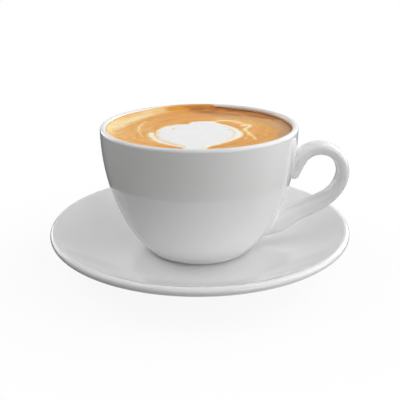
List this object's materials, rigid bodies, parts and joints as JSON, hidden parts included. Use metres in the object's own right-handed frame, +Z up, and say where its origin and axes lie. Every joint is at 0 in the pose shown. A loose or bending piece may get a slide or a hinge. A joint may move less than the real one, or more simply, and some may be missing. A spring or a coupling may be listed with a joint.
{
  "type": "cappuccino in a cup with saucer",
  "caption": "Cappuccino with a poured milk-foam heart in a round porcelain cup with an ear handle, standing on its saucer.",
  "frame": {"origin": "on the table, at the centre of the saucer's underside", "axes": "+Z up, +X along the handle, -Y towards the tip of the foam heart"},
  "size_m": [0.152, 0.152, 0.07],
  "materials": {
    "porcelain": "gloss",
    "coffee": "satin",
    "milk_foam": "satin"
  },
  "bodies": {
    "root": {"saucer": "porcelain", "cup": "porcelain", "coffee": "coffee", "milk_foam": "milk_foam"}
  },
  "joints": []
}
